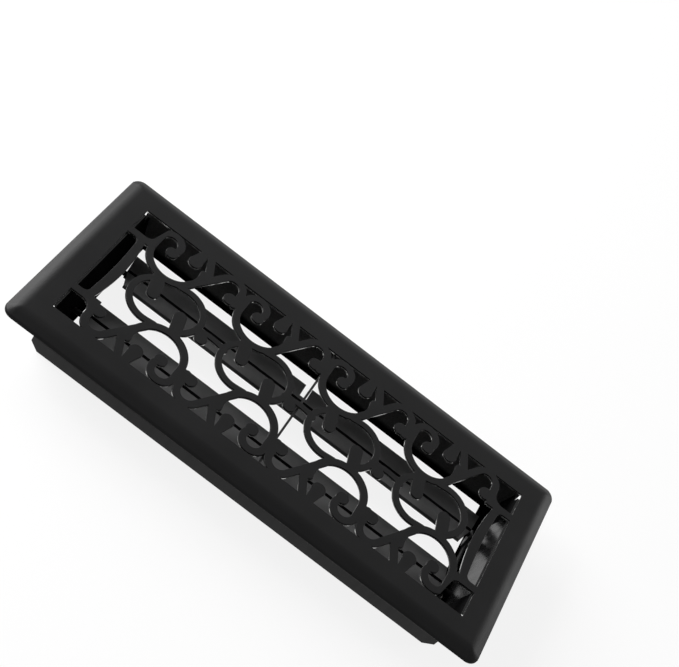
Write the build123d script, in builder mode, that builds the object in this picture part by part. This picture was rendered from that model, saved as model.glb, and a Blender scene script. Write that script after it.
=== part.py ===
from build123d import *
import os
from math import atan2, cos, degrees, radians, sin, sqrt

# Floor register for a 4 x 10 inch duct opening: a pierced scrollwork face over a two-blade damper.
# Millimetres, +Z up, X along the length, +Y across. The origin is at the middle of the footprint,
# level with the lower edges of the damper box.

# Damper box: it drops into the duct opening
box_length = 252.0
box_width = 100.0
box_drop = 26.5
wall_sheet = 0.9
wall_bend = 1.5
wall_flange = 8.0
wall_corner_trim = 5.0
end_slant = 5.1
end_inset = 0.5
end_gap = 0.2
end_relief_width = 6.0
end_relief_depth = 6.0
end_tab_length = 3.0
end_tab_height = 10.0
end_tab_lift = 3.0

# Face plate: it reaches past the box all round, and its pierced field lies over the box
rim_reach_x = 17.0
rim_reach_y = 13.5
plate_corner = 6.0
face_height = 4.5
face_sheet = 1.6
rim_straight = 0.5
field_inset_x = 0.4
field_inset_y = 4.8

# Scrollwork: one cell repeats along the length, and the upper row is the lower row turned half round.
# A cell is drawn about the centre of its arch.
cell_count = 4
row_end_space = 12.8
cell_shift = 11.1
scroll_width = 4.2
arch_lift = 16.3
arch_radius = 15.4
arch_turn = 195.0
hook_leg = 7.5
hook_radius = 6.3
hook_turn = 198.0
hook_ball = 3.6
hook_ball_x = 5.0
hook_ball_y = -2.5
foot_width = 4.4
foot_top_x = -17.8
foot_top_y = -5.0
foot_end_x = -12.9
post_ball = 4.0
post_ball_x = -7.4
post_ball_y = -7.5
post_left_x = -11.0
post_right_x = -6.0
stem_top_x = -11.8
stem_top_y = 9.6
stem_end_x = -25.0
stem_end_y = -11.8
stem_curl = 6.6
stem_riser = 9.2
stem_ball = 3.8
stem_ball_x = -33.9
stem_ball_y = -1.2
ring_width = 3.7
ring_radius = 14.55
ring_x = -16.5
ring_y = 27.1
ring_start = 115.0
ring_turn = 163.0
ring_tail = 5.0
tongue_width = 7.2
tongue_root_x = -23.4
tongue_root_y = 40.7
tongue_tip_x = -20.5
tongue_tip_y = 30.0
tie_width = 3.3
tie_y = 28.0
tie_bow = 1.5
tie_start_x = 8.0
tie_end_x = 26.4
tie_ball = 3.65
tie_ball_x = 13.15
tie_ball_y = 24.8

# End bars and straps of the pierced field
strap_width = 4.4
strap_inset = 18.2
strap_lap = 1.2
bar_width = 3.9
bar_inset = 8.7
bar_outer_bow = 1.4
bar_inner_bow = 3.0
stem_corner = 6.0
leg_corner = 4.0
leg_lean = 3.6
slot_corner = 3.0

# Cross bar under the grille
bridge_x = 0.4
bridge_sheet = 1.2
bridge_height = 3.2
bridge_gap = 0.3
bridge_tab = 8.0

# Blades, rods and their retainers
pivot_inset = 29.8
pivot_depth = 23.1
blade_tilt = -24.7
blade_sheet = 0.8
blade_rise = 2.6
blade_wall_gap = 6.6
blade_meet_gap = 2.0
blade_end_gap = 8.0
blade_lip = 2.0
blade_taper_far = 3.4
blade_taper_near = 5.0
notch_left = -1.8
notch_right = 2.5
notch_root = 6.0
rod_radius = 1.5
rod_groove_gap = 0.1
rod_run_clearance = 0.06
rod_overhang = 4.0
cap_size = 7.0
cap_thickness = 1.2
cap_stand = 0.3
cap_fit = 0.02

# Linkage at the right end
crank_radius = 4.8
crank_width = 6.0
crank_end = 2.2
crank_sheet = 1.0
crank_stand = 0.8
pin_radius = 1.2
pin_head_radius = 2.0
pin_head = 0.8
pin_run_clearance = 0.06
pin_open_clearance = 0.25
link_gap = 0.2
link_sheet = 1.0
link_width = 5.0
link_end = 2.6

# Levels and places that follow from the sizes above
plate_length = box_length + 2 * rim_reach_x
plate_width = box_width + 2 * rim_reach_y
field_length = box_length - 2 * field_inset_x
field_width = box_width - 2 * field_inset_y
rim_round = face_height - rim_straight
hollow_chamfer = (rim_round - face_sheet) * (2 - sqrt(2))
seat_z = box_drop
face_top = seat_z + face_height
face_under = face_top - face_sheet
cell_pitch = (field_length - 2 * row_end_space) / cell_count
arch_y = arch_lift - field_width / 2
stem_heading = degrees(atan2(stem_end_y - stem_top_y, stem_end_x - stem_top_x))
bar_out_x = field_length / 2 - bar_inset + bar_width / 2
bar_in_x = bar_out_x - bar_width
strap_y = field_width / 2 - strap_inset
strap_near_y = strap_y - strap_width / 2
strap_far_y = strap_y + strap_width / 2
wall_in_y = box_width / 2 - wall_sheet
end_top_x = box_length / 2 - end_inset
end_slope = end_slant / face_under
bridge_z = face_under - bridge_gap - bridge_height
pivot_y = box_width / 2 - pivot_inset
pivot_z = face_top - pivot_depth
tilt_cos = cos(radians(blade_tilt))
tilt_sin = sin(radians(blade_tilt))
blade_half = box_length / 2 - blade_end_gap
blade_outer = wall_in_y - pivot_y - blade_wall_gap
blade_inner = pivot_y - blade_meet_gap
crank_x = blade_half - blade_taper_far + crank_stand
link_x = crank_x + crank_sheet + link_gap
pin_y = crank_radius * tilt_sin
pin_z = -crank_radius * tilt_cos

os.makedirs("parts", exist_ok=True)


def end_face_x(z):
    """Distance from the middle to an end wall's outer face at height z."""
    return end_top_x - (face_under - z) * end_slope


def keep(part, name):
    """Label a finished piece and write its file."""
    part.label = name
    export_step(part, f"parts/{name}.step")


# Face plate
with BuildLine() as arch_line:
    CenterArc((0, 0), arch_radius, arch_turn, -arch_turn)
    Line((arch_radius, 0), (arch_radius, -hook_leg))
    CenterArc((arch_radius - hook_radius, -hook_leg), hook_radius, 0, -hook_turn)
with BuildLine() as foot_line:
    Line((foot_top_x, foot_top_y), (foot_end_x, -arch_lift))
with BuildLine() as stem_line:
    stem = Line((stem_top_x, stem_top_y), (stem_end_x, stem_end_y))
    curl = JernArc(stem @ 1, stem % 1, stem_curl, 90 - stem_heading - 360)
    Line(curl @ 1, (curl @ 1) + (0, stem_riser))
with BuildLine() as ring_line:
    ring = CenterArc((ring_x, ring_y), ring_radius, ring_start, ring_turn)
    Line(ring @ 1, (ring @ 1) + (ring % 1) * ring_tail)
with BuildLine() as tongue_line:
    Line((tongue_root_x, tongue_root_y), (tongue_tip_x, tongue_tip_y))
with BuildLine() as tie_line:
    ThreePointArc((tie_start_x, tie_y), ((tie_start_x + tie_end_x) / 2, tie_y + tie_bow), (tie_end_x, tie_y))

with BuildSketch() as cell:
    SlotArc(arch_line.wire(), scroll_width)
    SlotArc(foot_line.wire(), foot_width)
    SlotArc(stem_line.wire(), scroll_width)
    SlotArc(ring_line.wire(), ring_width)
    SlotArc(tongue_line.wire(), tongue_width)
    with Locations((hook_ball_x, hook_ball_y)):
        Circle(hook_ball)
    with Locations((stem_ball_x, stem_ball_y)):
        Circle(stem_ball)
    with Locations((post_ball_x, post_ball_y)):
        Circle(post_ball)
    with BuildLine():
        Polyline(
            (post_left_x, post_ball_y),
            (post_ball_x + post_ball, post_ball_y),
            (post_right_x, -arch_lift),
            (post_left_x, -arch_lift),
            close=True,
        )
    make_face()

with BuildSketch() as tie:
    SlotArc(tie_line.wire(), tie_width)
    with Locations((tie_ball_x, tie_ball_y)):
        Circle(tie_ball)

with BuildSketch() as end_bar:
    with BuildLine():
        outer = ThreePointArc((-bar_out_x, strap_y), (bar_outer_bow - bar_out_x, 0), (-bar_out_x, -strap_y))
        inner = ThreePointArc((-bar_in_x, -strap_y), (bar_inner_bow - bar_in_x, 0), (-bar_in_x, strap_y))
        Line(outer @ 1, inner @ 0)
        Line(inner @ 1, outer @ 0)
    make_face()

cell_places = [((i - (cell_count - 1) / 2) * cell_pitch + cell_shift, arch_y) for i in range(cell_count)]
riser_x = cell_places[0][0] + (curl @ 1).X
stem_side_x = riser_x - scroll_width / 2
leg_side_x = cell_places[-1][0] + arch_radius + scroll_width / 2
strap_reach = field_length / 2 + riser_x + strap_lap
strap_x = (field_length - strap_reach) / 2
with BuildSketch() as row:
    with Locations(*cell_places):
        add(cell.sketch)
with BuildSketch() as grille_holes:
    Rectangle(field_length, field_width)
    add(row.sketch, mode=Mode.SUBTRACT)
    add(row.sketch, rotation=180, mode=Mode.SUBTRACT)
    with Locations(*cell_places[:-1]):
        add(tie.sketch, mode=Mode.SUBTRACT)
    add(end_bar.sketch, mode=Mode.SUBTRACT)
    add(end_bar.sketch, rotation=180, mode=Mode.SUBTRACT)
    with Locations((-strap_x, -strap_y), (-strap_x, strap_y), (strap_x, -strap_y), (strap_x, strap_y)):
        Rectangle(strap_reach, strap_width, mode=Mode.SUBTRACT)
    for turn in (-1, 1):
        with BuildLine():
            Polyline(
                (turn * leg_side_x, -turn * strap_far_y),
                (turn * (leg_side_x - leg_lean), -turn * field_width / 2),
                (turn * field_length / 2, -turn * field_width / 2),
                (turn * field_length / 2, -turn * strap_far_y),
                close=True,
            )
        make_face()
    for corner_x, corner_y, radius in (
        (stem_side_x, -strap_far_y, stem_corner),
        (leg_side_x, -strap_far_y, leg_corner),
        (-bar_out_x, -strap_near_y, slot_corner),
        (bar_out_x, -strap_near_y, slot_corner),
    ):
        for turn in (-1, 1):
            corner = grille_holes.vertices().sort_by_distance((turn * corner_x, turn * corner_y, 0))[0]
            fillet(corner, radius)

with BuildPart() as plate_hollow:
    with BuildSketch(Plane.XY.offset(seat_z)):
        RectangleRounded(plate_length - 2 * face_sheet, plate_width - 2 * face_sheet, plate_corner - face_sheet)
    extrude(amount=face_height - face_sheet)
    chamfer(plate_hollow.faces().sort_by(Axis.Z)[-1].edges(), hollow_chamfer)

with BuildPart() as face_plate:
    with BuildSketch(Plane.XY.offset(seat_z)):
        RectangleRounded(plate_length, plate_width, plate_corner)
    extrude(amount=face_height)
    fillet(face_plate.faces().sort_by(Axis.Z)[-1].edges(), rim_round)
    add(plate_hollow.part, mode=Mode.SUBTRACT)
    with BuildSketch(Plane.XY.offset(face_top)):
        add(grille_holes.sketch)
    extrude(amount=-face_height, mode=Mode.SUBTRACT)
keep(face_plate.part, "face_plate")


# Damper box
def side_wall(side):
    """Folded side wall: an upright sheet with a flange turned out under the face plate."""
    with BuildPart() as wall:
        with BuildSketch(Plane.YZ.offset(-box_length / 2)):
            with Locations((side * (box_width - wall_sheet) / 2, 0)):
                Rectangle(wall_sheet, face_under, align=(Align.CENTER, Align.MIN))
            with Locations((side * (wall_in_y + wall_flange / 2), face_under)):
                Rectangle(wall_flange, wall_sheet, align=(Align.CENTER, Align.MAX))
        extrude(amount=box_length)
        lengthwise = wall.edges().filter_by(Axis.X)
        outside_bend = lengthwise.sort_by_distance((0, side * wall_in_y, face_under))[0]
        inside_bend = lengthwise.sort_by_distance((0, side * box_width / 2, face_under - wall_sheet))[0]
        fillet(outside_bend, wall_bend)
        fillet(inside_bend, wall_bend - wall_sheet)
        chamfer(wall.edges().filter_by(Axis.Y).group_by(Axis.Z)[0], wall_corner_trim)
    return wall.part


def end_wall(side):
    """Slanted end wall with a flange turned out at the top, corner reliefs and two welding tabs."""
    half = wall_in_y - end_gap
    tab_upper = end_tab_lift + end_tab_height
    with BuildPart() as wall:
        with BuildSketch(Plane.XZ):
            with BuildLine():
                Polyline(
                    (side * (end_top_x + wall_flange), face_under),
                    (side * (end_top_x + wall_flange), face_under - wall_sheet),
                    (side * end_face_x(face_under - wall_sheet), face_under - wall_sheet),
                    (side * end_face_x(0), 0),
                    (side * (end_face_x(0) - wall_sheet), 0),
                    (side * (end_top_x - wall_sheet), face_under),
                    close=True,
                )
            make_face()
        extrude(amount=half, both=True)
        with BuildSketch(Plane.XY.offset(face_under)):
            with Locations((side * end_top_x, half), (side * end_top_x, -half)):
                Rectangle(2 * (wall_flange + end_relief_depth), 2 * end_relief_width)
        extrude(amount=-end_relief_depth, mode=Mode.SUBTRACT)
        for tab_y in (half, wall_sheet - half):
            with BuildSketch(Plane.XZ.offset(-tab_y)):
                with BuildLine():
                    Polyline(
                        (side * (end_face_x(end_tab_lift) - wall_sheet / 2), end_tab_lift),
                        (side * (end_face_x(end_tab_lift) + end_tab_length), end_tab_lift),
                        (side * (end_face_x(tab_upper) + end_tab_length), tab_upper),
                        (side * (end_face_x(tab_upper) - wall_sheet / 2), tab_upper),
                        close=True,
                    )
                make_face()
            extrude(amount=wall_sheet)
        with BuildSketch(Plane.YZ):
            with Locations((pivot_y, pivot_z), (-pivot_y, pivot_z)):
                Circle(rod_radius + rod_run_clearance)
        extrude(amount=side * box_length, mode=Mode.SUBTRACT)
    return wall.part


keep(side_wall(1), "far_side_wall")
keep(side_wall(-1), "near_side_wall")
keep(end_wall(-1), "left_end_wall")
keep(end_wall(1), "right_end_wall")

# Cross bar on edge under the grille, with an end tab turned along each side wall
with BuildPart() as bridge_bar:
    with BuildSketch(Plane.XY.offset(bridge_z)):
        with Locations((bridge_x, 0)):
            Rectangle(bridge_sheet, 2 * wall_in_y)
        for side in (-1, 1):
            with Locations((bridge_x - bridge_sheet / 2, side * (wall_in_y - bridge_sheet / 2))):
                Rectangle(bridge_tab, bridge_sheet, align=(Align.MIN, Align.CENTER))
    extrude(amount=bridge_height)
keep(bridge_bar.part, "bridge_bar")


# Damper blades
def blade(side, far_half, near_half):
    """Sheet blade with a rod channel at its axis, a lip on its inner edge and tapered ends."""
    channel = rod_radius + rod_groove_gap
    channel_out = channel + blade_sheet
    centre_y = side * pivot_y
    lip_side = Align.MIN if side > 0 else Align.MAX
    section = Plane((-blade_half, centre_y, pivot_z), x_dir=(0, tilt_cos, tilt_sin), z_dir=(1, 0, 0))
    flat = Plane((0, centre_y, pivot_z), x_dir=(1, 0, 0), z_dir=(0, -tilt_sin, tilt_cos))
    with BuildPart() as sheet:
        with BuildSketch(section):
            Circle(channel_out)
            Rectangle(2 * channel_out, blade_rise, align=(Align.CENTER, Align.MIN))
            with Locations((-near_half, blade_rise)):
                Rectangle(near_half + far_half, blade_sheet, align=(Align.MIN, Align.MAX))
            with Locations((-side * blade_inner, blade_rise)):
                Rectangle(blade_sheet, blade_lip, align=(lip_side, Align.MAX))
            Circle(channel, mode=Mode.SUBTRACT)
            Rectangle(2 * channel, blade_rise, align=(Align.CENTER, Align.MIN), mode=Mode.SUBTRACT)
        extrude(amount=2 * blade_half)
        for end in (-1, 1):
            link_relief = blade_taper_far if end > side else 0
            with BuildSketch(flat):
                with BuildLine():
                    Polyline(
                        (end * (blade_half - link_relief), far_half + blade_lip),
                        (end * (blade_half - blade_taper_far), 0),
                        (end * (blade_half - blade_taper_far - blade_taper_near), -near_half),
                        (end * (blade_half - blade_taper_far - blade_taper_near), -near_half - blade_lip),
                        (end * box_length / 2, -near_half - blade_lip),
                        (end * box_length / 2, far_half + blade_lip),
                        close=True,
                    )
                make_face()
            extrude(amount=2 * blade_lip, both=True, mode=Mode.SUBTRACT)
        with BuildSketch(flat):
            with Locations((notch_left, notch_root)):
                Rectangle(notch_right - notch_left, far_half, align=(Align.MIN, Align.MIN))
        extrude(amount=2 * blade_lip, both=True, mode=Mode.SUBTRACT)
    return sheet.part


def rod(side):
    """Pivot rod along a blade's axis, through both end walls."""
    half = end_face_x(pivot_z) + rod_overhang
    with BuildPart() as bar:
        with BuildSketch(Plane.YZ.offset(-half)):
            with Locations((side * pivot_y, pivot_z)):
                Circle(rod_radius)
        extrude(amount=2 * half)
    return bar.part


def rod_cap(side, end):
    """Square push-on retainer that keeps a rod's end in its wall."""
    with BuildPart() as cap:
        with BuildSketch(Plane.YZ.offset(end * (end_face_x(pivot_z + cap_size / 2) + cap_stand))):
            with Locations((side * pivot_y, pivot_z)):
                Rectangle(cap_size, cap_size)
                Circle(rod_radius + cap_fit, mode=Mode.SUBTRACT)
        extrude(amount=end * cap_thickness)
    return cap.part


def crank(side):
    """Flat strip arm that hangs from a rod and holds the link's pin."""
    arm_plane = Plane((crank_x, side * pivot_y, pivot_z), x_dir=(0, tilt_sin, -tilt_cos), z_dir=(1, 0, 0))
    with BuildPart() as arm:
        with BuildSketch(arm_plane):
            with Locations((crank_radius / 2, 0)):
                Rectangle(crank_radius + 2 * crank_end, crank_width)
            Circle(rod_radius + cap_fit, mode=Mode.SUBTRACT)
            with Locations((crank_radius, 0)):
                Circle(pin_radius + cap_fit, mode=Mode.SUBTRACT)
        extrude(amount=crank_sheet)
    return arm.part


def crank_pin(side):
    """Rivet staked in a crank, with its head over the link."""
    grip = crank_sheet + link_gap + link_sheet + link_gap
    place = (side * pivot_y + pin_y, pivot_z + pin_z)
    with BuildPart() as pin:
        with BuildSketch(Plane.YZ.offset(crank_x)):
            with Locations(place):
                Circle(pin_radius)
        extrude(amount=grip)
        with BuildSketch(Plane.YZ.offset(crank_x + grip)):
            with Locations(place):
                Circle(pin_head_radius)
        extrude(amount=pin_head)
    return pin.part


for side, name, far_half, near_half in (
    (1, "far", blade_outer, blade_inner),
    (-1, "near", blade_inner, blade_outer),
):
    keep(blade(side, far_half, near_half), f"{name}_blade")
    keep(rod(side), f"{name}_rod")
    keep(rod_cap(side, -1), f"{name}_left_cap")
    keep(rod_cap(side, 1), f"{name}_right_cap")
    keep(crank(side), f"{name}_crank")
    keep(crank_pin(side), f"{name}_crank_pin")

# Link between the cranks, low at the right end
link_z = pivot_z + pin_z
with BuildPart() as link_bar:
    with BuildSketch(Plane.YZ.offset(link_x)):
        with Locations((pin_y, link_z)):
            Rectangle(2 * (pivot_y + link_end), link_width)
        with Locations((pin_y + pivot_y, link_z)):
            Circle(pin_radius + pin_run_clearance, mode=Mode.SUBTRACT)
        with Locations((pin_y - pivot_y, link_z)):
            Circle(pin_radius + pin_open_clearance, mode=Mode.SUBTRACT)
    extrude(amount=link_sheet)
keep(link_bar.part, "link_bar")
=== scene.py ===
from math import radians

import bmesh
import bpy
import numpy as np
from bpy.props import FloatProperty, FloatVectorProperty, PointerProperty
from mathutils import Matrix, Vector


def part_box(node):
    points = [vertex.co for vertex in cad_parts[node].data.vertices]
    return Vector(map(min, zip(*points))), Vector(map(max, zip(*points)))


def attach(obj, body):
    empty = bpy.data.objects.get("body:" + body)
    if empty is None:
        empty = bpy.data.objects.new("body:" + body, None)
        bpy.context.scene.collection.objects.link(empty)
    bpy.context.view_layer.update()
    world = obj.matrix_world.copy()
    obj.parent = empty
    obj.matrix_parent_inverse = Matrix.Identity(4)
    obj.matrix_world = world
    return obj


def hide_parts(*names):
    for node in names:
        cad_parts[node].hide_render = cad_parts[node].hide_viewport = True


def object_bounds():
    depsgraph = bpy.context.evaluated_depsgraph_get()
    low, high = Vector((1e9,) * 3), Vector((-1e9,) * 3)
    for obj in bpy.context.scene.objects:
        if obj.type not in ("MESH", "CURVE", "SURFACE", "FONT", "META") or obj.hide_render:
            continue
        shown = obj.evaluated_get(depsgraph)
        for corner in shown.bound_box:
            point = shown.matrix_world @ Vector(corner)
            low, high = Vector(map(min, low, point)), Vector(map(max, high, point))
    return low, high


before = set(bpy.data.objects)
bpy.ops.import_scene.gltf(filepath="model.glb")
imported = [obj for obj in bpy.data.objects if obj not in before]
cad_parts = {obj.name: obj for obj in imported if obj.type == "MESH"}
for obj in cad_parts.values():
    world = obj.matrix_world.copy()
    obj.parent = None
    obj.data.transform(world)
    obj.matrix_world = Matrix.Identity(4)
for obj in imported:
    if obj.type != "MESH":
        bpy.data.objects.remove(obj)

bl_info = {
    "name": "Floor register looks",
    "version": (1, 0, 0),
    "blender": (4, 5, 0),
    "location": "3D View > Sidebar > Register",
    "description": "Dresses a scrollwork floor register: painted sheet metal, steel rods and a pale studio",
    "category": "Object",
}

MM = 0.001
CAD_BOX = [list(map(float, corner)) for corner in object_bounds()]
PLATE_TOP = CAD_BOX[1][2]
HOUSING = "housing"
SIDES = ("far", "near")
# Points closer than this are one point
SAME_POINT = 1e-7
# An edge that folds by more than this is rounded
SHARP_FOLD = radians(35)
# The face attribute that tells how level each face lies: 1 for a level face, 0 for an upright one
LEVEL = "level"


class RegisterFinish(bpy.types.PropertyGroup):
    """Colours and edge sizes of the register's finishes."""

    paint_colour: FloatVectorProperty(
        name="Paint colour",
        description="Black of the baked paint on the plate and the box",
        subtype="COLOR",
        size=4,
        min=0.0,
        max=1.0,
        default=(0.006, 0.006, 0.0062, 1.0),
    )
    plate_roughness: FloatProperty(
        name="Plate roughness",
        description="How matt the face plate's baked paint is",
        subtype="FACTOR",
        min=0.0,
        max=1.0,
        default=0.4,
    )
    box_roughness: FloatProperty(
        name="Box roughness",
        description="How matt the thinner paint on the box is",
        subtype="FACTOR",
        min=0.0,
        max=1.0,
        default=0.4,
    )
    # Painted light: the blades' black is about ten times lighter than the plate's paint, standing for light
    # on them inside the box
    blade_lit_colour: FloatVectorProperty(
        name="Blade colour",
        description="Thin dusty black of the blades, cranks and link",
        subtype="COLOR",
        size=4,
        min=0.0,
        max=1.0,
        default=(0.062, 0.062, 0.0625, 1.0),
    )
    sheared_colour: FloatVectorProperty(
        name="Sheared steel colour",
        description="Steel that shows through low on the sheared walls of the openings",
        subtype="COLOR",
        size=4,
        min=0.0,
        max=1.0,
        default=(0.62, 0.62, 0.61, 1.0),
    )
    # Painted light: grey laid on the upper inner faces of the box, where light through the grille falls
    inner_light_colour: FloatVectorProperty(
        name="Dust colour",
        description="Grey bloom on the upper inner faces of the box",
        subtype="COLOR",
        size=4,
        min=0.0,
        max=1.0,
        default=(0.11, 0.11, 0.11, 1.0),
    )
    # Partly painted shade: the rods' blackened steel is made near-black and dull so the blades' grooves
    # read dark
    oxide_and_shade_colour: FloatVectorProperty(
        name="Oxide colour",
        description="Blackened steel of the rods",
        subtype="COLOR",
        size=4,
        min=0.0,
        max=1.0,
        default=(0.003, 0.003, 0.003, 1.0),
    )
    steel_colour: FloatVectorProperty(
        name="Steel colour",
        description="Dark oiled steel of the retainers and pins",
        subtype="COLOR",
        size=4,
        min=0.0,
        max=1.0,
        default=(0.16, 0.155, 0.15, 1.0),
    )
    plate_edge: FloatProperty(
        name="Plate edge",
        description="Rounding of the edges of the face plate's openings",
        unit="LENGTH",
        min=0.0,
        default=0.2 * MM,
    )
    sheet_edge: FloatProperty(
        name="Sheet edge",
        description="Rounding of the cut edges of the thin sheets",
        unit="LENGTH",
        min=0.0,
        default=0.15 * MM,
    )
    border_roll: FloatProperty(
        name="Border roll",
        description="How far in from the edge the pressed border starts to roll down",
        unit="LENGTH",
        min=0.0,
        default=8.5 * MM,
    )
    border_flank: FloatProperty(
        name="Border flank",
        description="How far in from the edge the rolled border's straight flank starts",
        unit="LENGTH",
        min=0.0,
        default=3.6 * MM,
    )
    border_slope: FloatProperty(
        name="Border slope",
        description="Fall of the straight flank, as height over width",
        min=0.0,
        default=0.5,
    )


class RegisterStage(bpy.types.PropertyGroup):
    """Floor, light and camera of the studio."""

    floor_colour: FloatVectorProperty(
        name="Floor colour",
        description="Colour of the pale floor",
        subtype="COLOR",
        size=4,
        min=0.0,
        max=1.0,
        default=(0.95, 0.95, 0.95, 1.0),
    )
    sky_strength: FloatProperty(
        name="Sky strength",
        description="Strength of the even light that the sky throws on matt surfaces",
        min=0.0,
        default=0.08,
    )
    side_power: FloatProperty(
        name="Side light",
        description="Power of the low soft light at the left rear",
        unit="POWER",
        min=0.0,
        default=34.0,
    )
    rear_power: FloatProperty(
        name="Rear light",
        description="Power of the high soft light at the rear",
        unit="POWER",
        min=0.0,
        default=1.0,
    )
    front_power: FloatProperty(
        name="Front light",
        description="Power of the soft light at the left front",
        unit="POWER",
        min=0.0,
        default=10.0,
    )
    right_power: FloatProperty(
        name="Right light",
        description="Power of the low soft light at the right rear",
        unit="POWER",
        min=0.0,
        default=5.0,
    )
    camera_place: FloatVectorProperty(
        name="Camera place",
        description="Where the camera stands",
        subtype="XYZ",
        unit="LENGTH",
        default=(-24.73 * MM, -474.71 * MM, PLATE_TOP + 533.87 * MM),
    )
    camera_aim: FloatVectorProperty(
        name="Camera aim",
        description="Point on the plate's level that the camera looks at",
        subtype="XYZ",
        unit="LENGTH",
        default=(-4.72 * MM, 58.77 * MM, PLATE_TOP),
    )
    camera_roll: FloatProperty(
        name="Camera roll",
        description="Turn of the picture about the line of sight",
        subtype="ANGLE",
        default=radians(38.82),
    )
    camera_lens: FloatProperty(
        name="Camera lens",
        description="Focal length over a 36 mm wide sensor",
        unit="CAMERA",
        default=74.07,
    )


def blank_material(name, metallic, specular):
    """A material with its shader, and the texture coordinates that its patterns read."""
    material = bpy.data.materials.new(name)
    material.use_nodes = True
    nodes = material.node_tree.nodes
    shader = nodes["Principled BSDF"]
    shader.inputs["Metallic"].default_value = metallic
    shader.inputs["Specular IOR Level"].default_value = specular
    return material, nodes, material.node_tree.links, shader, nodes.new("ShaderNodeTexCoord")


def feed(links, socket, value):
    """Gives a socket a plain value, or the output of another node."""
    if isinstance(value, bpy.types.NodeSocket):
        links.new(value, socket)
    else:
        socket.default_value = value


def noise(nodes, links, place, waves, detail, stretch=(1.0, 1.0, 1.0)):
    """Noise of so many waves per metre on Object coordinates, stretched along the axes."""
    turn = nodes.new("ShaderNodeMapping")
    turn.inputs["Scale"].default_value = stretch
    links.new(place.outputs["Object"], turn.inputs["Vector"])
    pattern = nodes.new("ShaderNodeTexNoise")
    pattern.inputs["Scale"].default_value = waves
    pattern.inputs["Detail"].default_value = detail
    links.new(turn.outputs["Vector"], pattern.inputs["Vector"])
    return pattern.outputs["Fac"]


def height_of(nodes, links, place):
    """Height on Object coordinates."""
    parts = nodes.new("ShaderNodeSeparateXYZ")
    links.new(place.outputs["Object"], parts.inputs["Vector"])
    return parts.outputs["Z"]


def spread(nodes, links, value, low, high, start=0.3, end=0.7):
    """Maps a pattern's start..end onto low..high."""
    ramp = nodes.new("ShaderNodeMapRange")
    ramp.inputs["From Min"].default_value = start
    ramp.inputs["From Max"].default_value = end
    ramp.inputs["To Min"].default_value = low
    ramp.inputs["To Max"].default_value = high
    links.new(value, ramp.inputs["Value"])
    return ramp.outputs["Result"]


def combine(nodes, links, operation, *values):
    """A Math node of the values, each a plain number or another node's output."""
    step = nodes.new("ShaderNodeMath")
    step.operation = operation
    for socket, value in zip(step.inputs, values):
        feed(links, socket, value)
    return step.outputs[0]


def blend(nodes, links, factor, low, high):
    """Mixes two colours, each a plain colour or another node's output, by a pattern."""
    mix = nodes.new("ShaderNodeMix")
    mix.data_type = "RGBA"
    links.new(factor, mix.inputs["Factor"])
    feed(links, mix.inputs["A"], low)
    feed(links, mix.inputs["B"], high)
    return mix.outputs["Result"]


def tinted(colour, share):
    """The colour times a share."""
    return (*(share * c for c in colour[:3]), 1.0)


def mottled(nodes, links, pattern, colour, low, high):
    """The colour times low to high, by a pattern."""
    factor = spread(nodes, links, pattern, 0.0, 1.0)
    return blend(nodes, links, factor, tinted(colour, low), tinted(colour, high))


def relief(nodes, links, layers):
    """A normal from layers of (pattern, height), each laid over the one before."""
    normal = None
    for pattern, height in layers:
        bump = nodes.new("ShaderNodeBump")
        bump.inputs["Strength"].default_value = 1.0
        bump.inputs["Distance"].default_value = height
        links.new(pattern, bump.inputs["Height"])
        if normal:
            links.new(normal, bump.inputs["Normal"])
        normal = bump.outputs["Normal"]
    return normal


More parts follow.
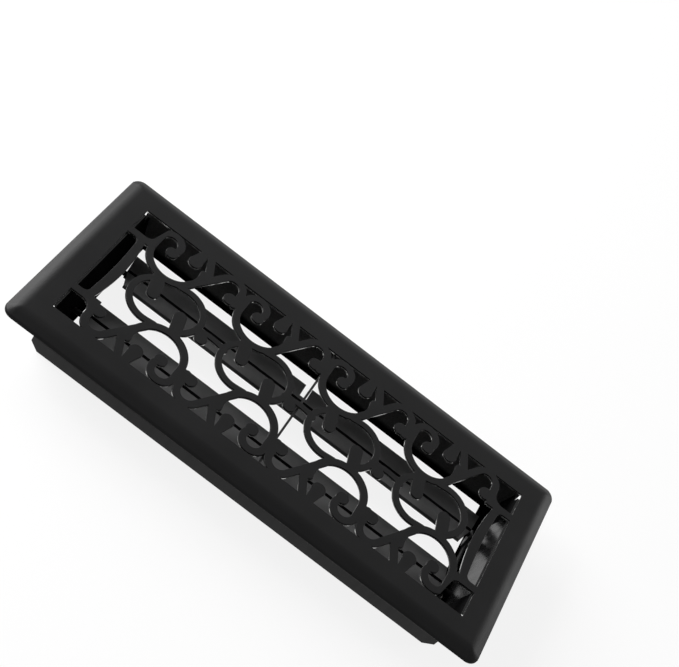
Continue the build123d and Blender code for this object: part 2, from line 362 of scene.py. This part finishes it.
def baked_paint(name, colour, roughness, specular, runs, worn=None):
    """Baked black paint.

    Broad clouds vary tone and gloss, orange peel of about 1 mm and a powder grain of 0.2 mm lift
    the surface, and faces that stand upright, where the sheet is cut, are painted darker as painted
    shade, with fine upright shear marks. Runs is the share of upright drain streaks in the gloss.
    Worn is (steel colour, top, full, foot): on steep faces the paint thins to sheared steel from the
    height top down to full, in patches, and the steel ends at foot.
    """
    material, nodes, links, shader, place = blank_material(name, 0.0, specular)
    cloud = noise(nodes, links, place, waves=34.0, detail=4.0)
    peel = noise(nodes, links, place, waves=1100.0, detail=1.5)
    grain = noise(nodes, links, place, waves=5200.0, detail=1.0)
    shear = noise(nodes, links, place, waves=2600.0, detail=2.0, stretch=(1.0, 1.0, 0.08))
    streak = noise(nodes, links, place, waves=260.0, detail=2.0, stretch=(1.0, 1.0, 0.07))
    facing = nodes.new("ShaderNodeAttribute")
    facing.attribute_name = LEVEL
    level = facing.outputs["Fac"]
    # Upright faces get painted shade: this mask picks them out by how level each face lies
    upright = spread(nodes, links, level, 1.0, 0.0, start=0.15, end=0.45)
    flat = mottled(nodes, links, cloud, colour, low=0.85, high=1.15)
    # Painted shade: upright faces take 0.45 to 0.8 of the paint's colour
    cut = mottled(nodes, links, shear, colour, low=0.45, high=0.8)
    coat = blend(nodes, links, upright, flat, cut)
    cloudy, grainy = 0.04, 0.03
    rough = spread(nodes, links, cloud, roughness - cloudy, roughness + cloudy)
    for pattern, swing in ((streak, runs), (grain, grainy)):
        rough = combine(nodes, links, "ADD", rough, spread(nodes, links, pattern, -swing, swing))
    if worn:
        steel, top, full, foot = worn
        fade = 0.2 * MM
        polish = 0.2
        height = height_of(nodes, links, place)
        patches = noise(nodes, links, place, waves=160.0, detail=3.0)
        bare = spread(nodes, links, height, 0.0, 1.0, start=top, end=full)
        for share in (
            spread(nodes, links, height, 0.0, 1.0, start=foot - fade, end=foot),
            spread(nodes, links, level, 1.0, 0.0, start=0.75, end=0.85),
            spread(nodes, links, patches, 0.25, 1.0, start=0.36, end=0.5),
        ):
            bare = combine(nodes, links, "MULTIPLY", bare, share)
        coat = blend(nodes, links, bare, coat, tinted(steel, 1.0))
        rough = combine(nodes, links, "MULTIPLY_ADD", bare, -polish, rough)
        links.new(bare, shader.inputs["Metallic"])
    links.new(coat, shader.inputs["Base Color"])
    links.new(rough, shader.inputs["Roughness"])
    links.new(relief(nodes, links, [(peel, 0.014 * MM), (grain, 0.003 * MM)]), shader.inputs["Normal"])
    return material


def inner_paint(name, colour, lit_colour):
    """Dull thin paint inside the box: painted shade darker near the lower edge, painted light above."""
    material, nodes, links, shader, place = blank_material(name, 0.0, 0.0)
    cloud = noise(nodes, links, place, waves=120.0, detail=4.0)
    grain = noise(nodes, links, place, waves=1800.0, detail=2.0)
    wander = 1.5 * MM
    height = combine(nodes, links, "MULTIPLY_ADD", cloud, wander, height_of(nodes, links, place))
    # Painted light: share of the lighter colour, rising from 5 to 8 mm up with a wavering edge
    bloom = spread(nodes, links, height, 0.0, 1.0, start=5.0 * MM, end=8.0 * MM)
    lit = mottled(nodes, links, grain, lit_colour, low=0.7, high=1.2)
    # Painted shade near the lower edge: 0.3 of the colour
    bare = tinted(colour, share=0.3)
    links.new(blend(nodes, links, bloom, bare, lit), shader.inputs["Base Color"])
    links.new(spread(nodes, links, cloud, low=0.58, high=0.72), shader.inputs["Roughness"])
    links.new(relief(nodes, links, [(grain, 0.008 * MM)]), shader.inputs["Normal"])
    return material


def drawn_metal(name, colour, roughness, metallic, specular):
    """Steel drawn through a die along X: long fine scratches, with dull clouds of oil or oxide."""
    material, nodes, links, shader, place = blank_material(name, metallic, specular)
    cloud = noise(nodes, links, place, waves=90.0, detail=3.0)
    scratch = noise(nodes, links, place, waves=3200.0, detail=3.0, stretch=(0.05, 1.0, 1.0))
    links.new(mottled(nodes, links, cloud, colour, low=0.75, high=1.2), shader.inputs["Base Color"])
    swing = 0.08
    rough = spread(nodes, links, scratch, roughness - swing, roughness + swing)
    links.new(rough, shader.inputs["Roughness"])
    links.new(relief(nodes, links, [(scratch, 0.006 * MM)]), shader.inputs["Normal"])
    return material


def placed(name, data):
    """A new object of the data, in the scene."""
    item = bpy.data.objects.new(name, data)
    bpy.context.scene.collection.objects.link(item)
    return item


def merged_copy(name):
    """A copy of a CAD node's mesh with its loose triangles joined, as a bmesh."""
    work = bmesh.new()
    work.from_mesh(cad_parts[name].data)
    bmesh.ops.remove_doubles(work, verts=work.verts, dist=SAME_POINT)
    return work


def cut_across(work, axis, at):
    """Cuts the faces of a bmesh along the plane where the coordinate on an axis is at."""
    spot = np.zeros(3)
    spot[axis] = at
    everything = work.verts[:] + work.edges[:] + work.faces[:]
    bmesh.ops.bisect_plane(work, geom=everything, dist=SAME_POINT, plane_co=spot, plane_no=np.eye(3)[axis])


def read(items, field, width, kind):
    """One field of a mesh's vertices, edges, loops or faces as an array."""
    values = np.empty(len(items) * width, kind)
    items.foreach_get(field, values)
    return values.reshape(-1, width) if width > 1 else values


def fold_cosines(mesh):
    """Cosine of the fold at each edge: the loops are sorted by edge, which pairs its two faces."""
    edge_of_loop = read(mesh.loops, "edge_index", 1, np.int32)
    corners = read(mesh.polygons, "loop_total", 1, np.int32)
    face_of_loop = np.repeat(np.arange(len(mesh.polygons)), corners)
    order = np.argsort(edge_of_loop, kind="stable")
    count = np.bincount(edge_of_loop, minlength=len(mesh.edges))
    last = np.cumsum(count) - 1
    first = last - count + 1
    normal = read(mesh.polygons, "normal", 3, np.float32)
    return (normal[face_of_loop[order[first]]] * normal[face_of_loop[order[last]]]).sum(axis=1)


def looks_in(axis):
    """A test for faces that look towards the middle of the box along an axis, within 60 degrees."""
    return lambda middle, normal: normal[:, axis] * np.sign(middle[:, axis]) < -0.5


def dress(name, body, material, edge, work=None, weigh=None, zones=()):
    """A merged copy of a CAD node with its sharp edges rounded.

    An edge that folds by more than SHARP_FOLD is rounded to the given width times its weight,
    which weigh works out from the heights of the edges' middles, or 1. Zones are (finish, test):
    a face takes the last finish whose test of the faces' middles and normals holds for it.
    Normals are then weighted by area, so that flat sheets stay flat up to their rounded edges.
    """
    work = work or merged_copy(name)
    mesh = bpy.data.meshes.new(name + "_dressed")
    work.to_mesh(mesh)
    work.free()
    mesh.shade_smooth()
    weight = (fold_cosines(mesh) < np.cos(SHARP_FOLD)).astype(np.float32)
    if weigh:
        height = read(mesh.vertices, "co", 3, np.float32)[:, 2]
        ends = read(mesh.edges, "vertices", 2, np.int32)
        weight = (weight * weigh(height[ends].mean(axis=1))).astype(np.float32)
    mesh.attributes.new("bevel_weight_edge", "FLOAT", "EDGE").data.foreach_set("value", weight)
    piece = placed(name + "_dressed", mesh)
    mesh.materials.clear()
    mesh.materials.append(material)
    middle, normal = (read(mesh.polygons, field, 3, np.float32) for field in ("center", "normal"))
    mesh.attributes.new(LEVEL, "FLOAT", "FACE").data.foreach_set("value", np.abs(normal[:, 2]))
    choice = np.zeros(len(middle), np.int32)
    for index, (finish, test) in enumerate(zones, 1):
        mesh.materials.append(finish)
        choice[test(middle, normal)] = index
    mesh.polygons.foreach_set("material_index", choice)
    bevel = piece.modifiers.new("edge", "BEVEL")
    bevel.width = edge
    bevel.segments = 2
    bevel.limit_method = "WEIGHT"
    bevel.use_clamp_overlap = False
    weighted = piece.modifiers.new("flat", "WEIGHTED_NORMAL")
    weighted.mode = "FACE_AREA"
    weighted.weight = 100
    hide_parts(name)
    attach(piece, body)


class REGISTER_OT_face_plate(bpy.types.Operator):
    """Dress the pierced face plate: border rolled down wide, openings sheared, satin black paint."""

    bl_idname = "register.face_plate"
    bl_label = "Face plate"

    # The solid's corner radius in plan, the round of its edge and its thickness
    CORNER = 6.0 * MM
    ROUND = 4.0 * MM
    SHEET = 1.6 * MM
    # Heights above the underside where the paint on the openings' walls starts to thin and is gone
    WEAR_TOP = 0.85 * MM
    WEAR_FULL = 0.7 * MM
    # Width of the pressed border's outer lip, distance from the round in to the first cut along the
    # border, and number of these cuts
    LIP = 1.0 * MM
    STRIP = 0.5 * MM
    CUTS = 6
    # A point that lies deeper than this below the face belongs to the underside
    SKIN = 0.06 * MM

    def execute(self, context):
        finish = context.scene.register_finish
        under = PLATE_TOP - self.SHEET
        paint = baked_paint(
            "satin_black_paint", finish.paint_colour, finish.plate_roughness, specular=0.1, runs=0.0,
            worn=(finish.sheared_colour, under + self.WEAR_TOP, under + self.WEAR_FULL, under))
        work = merged_copy("face_plate")
        self.roll_border(work, finish)
        dress("face_plate", HOUSING, paint, finish.plate_edge, work, self.edge_weight)
        return {"FINISHED"}

    def edge_weight(self, height):
        """Rounding of the openings' top edges, of their upright corners, and of all lower edges."""
        below = PLATE_TOP - height
        near = 0.1 * MM
        return np.select([below < near, below < self.SHEET - near], [1.0, 0.6], 0.8)

    def roll_border(self, work, finish):
        """Rolls the plate's border down further in than the CAD solid's plain round.

        The border is first cut along lines at set distances d from the edge. The solid falls by
        C(d) = R - sqrt(R^2 - (R - d)^2) within its round R. The pressed border falls by
        T(d) = m (W - d)^2 / (2 (W - F)) from W in to F, by the slope m from there outwards, and
        over the lip by a quarter ellipse more, so that it ends at R as the solid does.
        Points on the face drop by T - C, and those under it by as much, less near the seat.
        """
        low, high = (np.array(corner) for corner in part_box("face_plate"))
        half = high[:2]
        seat = low[2]
        for distance in np.linspace(self.ROUND + self.STRIP, finish.border_roll, self.CUTS):
            for axis in (0, 1):
                for side in (-1, 1):
                    cut_across(work, axis, side * (half[axis] - distance))
        mesh = bpy.data.meshes.new("border")
        work.to_mesh(mesh)
        place = read(mesh.vertices, "co", 3, np.float32)
        q = np.abs(place[:, :2]) - (half - self.CORNER)
        d = self.CORNER - np.linalg.norm(np.maximum(q, 0.0), axis=1) - np.minimum(q.max(axis=1), 0.0)
        d = np.clip(d, 0.0, None)
        drop = self.pressed(d, finish) - self.solid(d)
        under = place[:, 2] < PLATE_TOP - self.solid(d) - self.SKIN
        share = np.clip((place[:, 2] - seat) / (PLATE_TOP - self.SHEET - seat), 0.0, 1.0)
        place[:, 2] -= drop * np.where(under, share, 1.0)
        mesh.vertices.foreach_set("co", place.ravel())
        work.clear()
        work.from_mesh(mesh)
        bpy.data.meshes.remove(mesh)

    def solid(self, d):
        """Fall of the solid's round at distance d from the edge."""
        reach = np.clip(self.ROUND - d, 0.0, None)
        return self.ROUND - np.sqrt(self.ROUND ** 2 - reach ** 2)

    def pressed(self, d, finish):
        """Fall of the pressed border at distance d from the edge."""
        wide, flank, slope = finish.border_roll, finish.border_flank, finish.border_slope
        bend = slope * np.clip(wide - np.maximum(d, flank), 0.0, None) ** 2 / (2 * (wide - flank))
        fall = bend + slope * np.clip(flank - d, 0.0, None)
        rest = self.ROUND - slope * (wide - flank) / 2 - slope * flank
        return fall + rest * (1 - np.sqrt(1 - np.clip(1 - d / self.LIP, 0.0, 1.0) ** 2))


class REGISTER_OT_damper_box(bpy.types.Operator):
    """Dress the folded walls and the cross bar, and fold the end walls' hems."""

    bl_idname = "register.damper_box"
    bl_label = "Damper box"

    # Half the length of the stretch of the right end wall that is glossy inside
    GLOSS_HALF = 29.0 * MM
    # Thickness of a hem, and its clearances from the blades' ends and from the side walls
    HEM_SHEET = 0.9 * MM
    BLADE_GAP = 0.4 * MM
    WALL_GAP = 0.2 * MM
    NOSE_POINTS = 9

    def execute(self, context):
        finish = context.scene.register_finish
        edge = finish.sheet_edge
        paint = baked_paint(
            "box_black_paint", finish.paint_colour, finish.box_roughness, specular=0.2, runs=0.07)
        gloss = baked_paint(
            "gloss_black_paint", finish.paint_colour, roughness=0.25, specular=0.5, runs=0.05)
        # Inner paints: painted light high on the inner faces, painted shade near their lower edge
        dull = inner_paint("lit_inner_paint", finish.paint_colour, finish.inner_light_colour)
        black = inner_paint("black_inner_paint", finish.paint_colour, finish.paint_colour)
        across, along = looks_in(1), looks_in(0)

        def glossy(middle, normal):
            """Inner faces in the middle stretch of an end wall."""
            return along(middle, normal) & (np.abs(middle[:, 1]) < self.GLOSS_HALF)

        # The side walls' inner faces take the painted light and shade
        for name in ("near_side_wall", "far_side_wall"):
            dress(name, HOUSING, paint, edge, zones=[(dull, across)])
        dress("left_end_wall", HOUSING, paint, edge, zones=[(black, along)])
        work = merged_copy("right_end_wall")
        for side in (-1, 1):
            cut_across(work, 1, side * self.GLOSS_HALF)
        dress("right_end_wall", HOUSING, paint, edge, work,
              zones=[(black, along), (gloss, glossy)])
        dress("bridge_bar", HOUSING, paint, edge)
        self.hem("left", -1, black)
        self.hem("right", 1, black)
        return {"FINISHED"}

    def hem(self, end, way, material):
        """The lower edge of an end wall, folded in flat under the box.

        The profile is a strip of the sheet's height with a half-round nose, carried straight along
        the wall. It reaches in to a little short of the blades' ends.
        """
        names = (f"{end}_end_wall", "near_blade", "far_side_wall")
        wall, blade, side = (np.array(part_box(name)) for name in names)
        edge = way * np.min(way * wall[:, 0])
        reach = way * (edge - way * np.max(way * blade[:, 0])) - self.BLADE_GAP
        nose = self.HEM_SHEET / 2
        turn = np.linspace(-np.pi / 2, np.pi / 2, self.NOSE_POINTS)
        inward = np.concatenate([[-nose], reach - nose + nose * np.cos(turn), [-nose]])
        height = np.concatenate([[0.0], nose * (1 + np.sin(turn)), [self.HEM_SHEET]])
        run = np.array([-1.0, 1.0]) * (side[0, 1] - self.WALL_GAP)
        x = (edge - way * inward)[:, None]
        z = (CAD_BOX[0][2] + height)[:, None]
        points = np.stack(np.broadcast_arrays(x, run[None, :], z), -1)
        first = np.arange(len(inward))
        after = np.roll(first, -1)
        sides = np.stack([2 * first, 2 * after, 2 * after + 1, 2 * first + 1], 1).tolist()
        caps = [(2 * first[::-1]).tolist(), (2 * first + 1).tolist()]
        mesh = bpy.data.meshes.new(f"{end}_hem")
        mesh.from_pydata(points.reshape(-1, 3), [], sides + caps)
        work = bmesh.new()
        work.from_mesh(mesh)
        bmesh.ops.recalc_face_normals(work, faces=work.faces)
        work.to_mesh(mesh)
        work.free()
        mesh.materials.append(material)
        piece = placed(f"{end}_hem", mesh)
        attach(piece, HOUSING)


class REGISTER_OT_dampers(bpy.types.Operator):
    """Dress the two blades with their cranks and the link."""

    bl_idname = "register.dampers"
    bl_label = "Dampers"

    # Radius about the rod's axis that takes in the blade's channel, painted near-black as the groove's
    # painted shade
    CHANNEL = 2.6 * MM

    def execute(self, context):
        finish = context.scene.register_finish
        edge = finish.sheet_edge
        # Blade paint lightened as painted light
        paint = baked_paint(
            "blade_black_paint", finish.blade_lit_colour, roughness=0.5, specular=0.12, runs=0.03)
        # Near-black inner paint as painted shade in each blade's groove
        groove_shade = bpy.data.materials["black_inner_paint"]
        for side in SIDES:
            body = f"{side}_damper"
            zones = [(groove_shade, self.in_channel(f"{side}_rod"))]
            dress(f"{side}_blade", body, paint, edge, zones=zones)
            dress(f"{side}_crank", body, paint, edge)
        dress("link_bar", "link", paint, edge)
        return {"FINISHED"}

    def in_channel(self, rod):
        """A test for faces close round a rod's axis, which take the groove's painted shade."""
        axis = np.mean(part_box(rod), axis=0)[1:]
        return lambda middle, normal: np.linalg.norm(middle[:, 1:] - axis, axis=1) < self.CHANNEL


class REGISTER_OT_rods(bpy.types.Operator):
    """Dress the blackened rods, near-black as the grooves' painted shade, and the steel retainers and crank
    pins.
    """

    bl_idname = "register.rods"
    bl_label = "Rods, retainers and pins"

    def execute(self, context):
        finish = context.scene.register_finish
        # Near-black rods: blackened steel, and painted shade in the blades' grooves
        oxide = drawn_metal(
            "blackened_rod_steel_and_shade", finish.oxide_and_shade_colour, roughness=0.6, metallic=0.0, specular=0.05)
        steel = drawn_metal(
            "dark_oiled_steel", finish.steel_colour, roughness=0.34, metallic=1.0, specular=0.5)
        for side in SIDES:
            body = f"{side}_damper"
            dress(f"{side}_rod", body, oxide, finish.sheet_edge)
            for name in ("left_cap", "right_cap", "crank_pin"):
                dress(f"{side}_{name}", body, steel, finish.sheet_edge)
        return {"FINISHED"}


class REGISTER_OT_stage(bpy.types.Operator):
    """Set the pale floor, the soft lights and the camera."""

    bl_idname = "register.stage"
    bl_label = "Studio"

    # Half the floor's width, and the share of its tone that no shadow takes away
    FLOOR_HALF = 12.0
    FLOOR_GLOW = 0.86
    WHITE = (1.0, 1.0, 1.0, 1.0)

    def execute(self, context):
        stage = context.scene.register_stage
        context.scene.view_settings.view_transform = "Standard"
        self.floor(stage)
        self.sky(stage)
        self.lamp("side_light", stage.side_power, place=(-1.14, 0.42, 0.55), size=1.0)
        self.lamp("rear_light", stage.rear_power, place=(0.0, 1.2, 0.9), size=0.9)
        self.lamp("front_light", stage.front_power, place=(-1.3, -0.1, 0.8), size=0.6)
        self.lamp("right_light", stage.right_power, place=(1.0, 0.85, 0.4), size=0.6)
        self.camera(stage)
        return {"FINISHED"}

    def floor(self, stage):
        """A wide flat square at the lowest point of the box, white to the eye and in reflections."""
        across = self.FLOOR_HALF * np.array([-1.0, 1.0, 1.0, -1.0])
        along = self.FLOOR_HALF * np.array([-1.0, -1.0, 1.0, 1.0])
        corners = np.stack([across, along, np.full(4, CAD_BOX[0][2])], 1)
        mesh = bpy.data.meshes.new("floor")
        mesh.from_pydata(corners, [], [(0, 1, 2, 3)])
        floor = placed("floor", mesh)
        material = bpy.data.materials.new("pale_floor")
        material.use_nodes = True
        nodes, links = material.node_tree.nodes, material.node_tree.links
        nodes.clear()
        cover = nodes.new("ShaderNodeBsdfDiffuse")
        cover.inputs["Color"].default_value = stage.floor_colour
        glow = nodes.new("ShaderNodeEmission")
        glow.inputs["Color"].default_value = self.WHITE
        links.new(self.seen(nodes, links), glow.inputs["Strength"])
        both = nodes.new("ShaderNodeMixShader")
        both.inputs["Fac"].default_value = self.FLOOR_GLOW
        out = nodes.new("ShaderNodeOutputMaterial")
        links.new(cover.outputs[0], both.inputs[1])
        links.new(glow.outputs[0], both.inputs[2])
        links.new(both.outputs[0], out.inputs["Surface"])
        mesh.materials.append(material)

    def seen(self, nodes, links):
        """1 for rays from the eye, and for those that a glossy or clear surface sends on."""
        rays = nodes.new("ShaderNodeLightPath").outputs
        value = combine(nodes, links, "MAXIMUM", rays["Is Camera Ray"], rays["Is Glossy Ray"])
        return combine(nodes, links, "MAXIMUM", value, rays["Is Transmission Ray"])

    def sky(self, stage):
        """A dim even sky for soft light, white to the eye and in reflections."""
        world = bpy.context.scene.world or bpy.data.worlds.new("studio")
        bpy.context.scene.world = world
        world.use_nodes = True
        nodes, links = world.node_tree.nodes, world.node_tree.links
        nodes.clear()
        glow = nodes.new("ShaderNodeBackground")
        glow.inputs["Color"].default_value = self.WHITE
        strength = spread(
            nodes, links, self.seen(nodes, links), stage.sky_strength, 1.0, start=0.0, end=1.0)
        links.new(strength, glow.inputs["Strength"])
        out = nodes.new("ShaderNodeOutputWorld")
        links.new(glow.outputs[0], out.inputs["Surface"])

    def lamp(self, name, power, place, size):
        """A square soft light at place that faces the register."""
        data = bpy.data.lights.new(name, "AREA")
        data.size = size
        data.energy = power
        lamp = placed(name, data)
        lamp.location = place
        lamp.rotation_euler = (-Vector(place)).to_track_quat("-Z", "Y").to_euler()

    def camera(self, stage):
        """The photograph's view: from place towards aim, turned by roll about the line of sight."""
        data = bpy.data.cameras.new("camera")
        data.sensor_fit = "HORIZONTAL"
        data.sensor_width = 36.0
        data.lens = stage.camera_lens
        data.clip_start = 0.01
        camera = placed("camera", data)
        sight = (Vector(stage.camera_aim) - Vector(stage.camera_place)).to_track_quat("-Z", "Y")
        turn = sight.to_matrix().to_4x4() @ Matrix.Rotation(stage.camera_roll, 4, "Z")
        camera.matrix_world = Matrix.Translation(stage.camera_place) @ turn
        bpy.context.scene.camera = camera


class REGISTER_PT_panel(bpy.types.Panel):
    """Lists the register's sizes, colours and steps."""

    bl_idname = "REGISTER_PT_panel"
    bl_label = "Floor register"
    bl_space_type = "VIEW_3D"
    bl_region_type = "UI"
    bl_category = "Register"

    def draw(self, context):
        for group in (context.scene.register_finish, context.scene.register_stage):
            for name in group.__annotations__:
                self.layout.prop(group, name)
        for step in STEPS:
            self.layout.operator(step.bl_idname)


STEPS = (
    REGISTER_OT_face_plate,
    REGISTER_OT_damper_box,
    REGISTER_OT_dampers,
    REGISTER_OT_rods,
    REGISTER_OT_stage,
)
CLASSES = (RegisterFinish, RegisterStage) + STEPS + (REGISTER_PT_panel,)


def register():
    for item in CLASSES:
        bpy.utils.register_class(item)
    bpy.types.Scene.register_finish = PointerProperty(type=RegisterFinish)
    bpy.types.Scene.register_stage = PointerProperty(type=RegisterStage)


def unregister():
    del bpy.types.Scene.register_stage
    del bpy.types.Scene.register_finish
    for item in reversed(CLASSES):
        bpy.utils.unregister_class(item)


def main():
    register()
    bpy.ops.register.face_plate()
    bpy.ops.register.damper_box()
    bpy.ops.register.dampers()
    bpy.ops.register.rods()
    bpy.ops.register.stage()


if __name__ == "__main__":
    main()
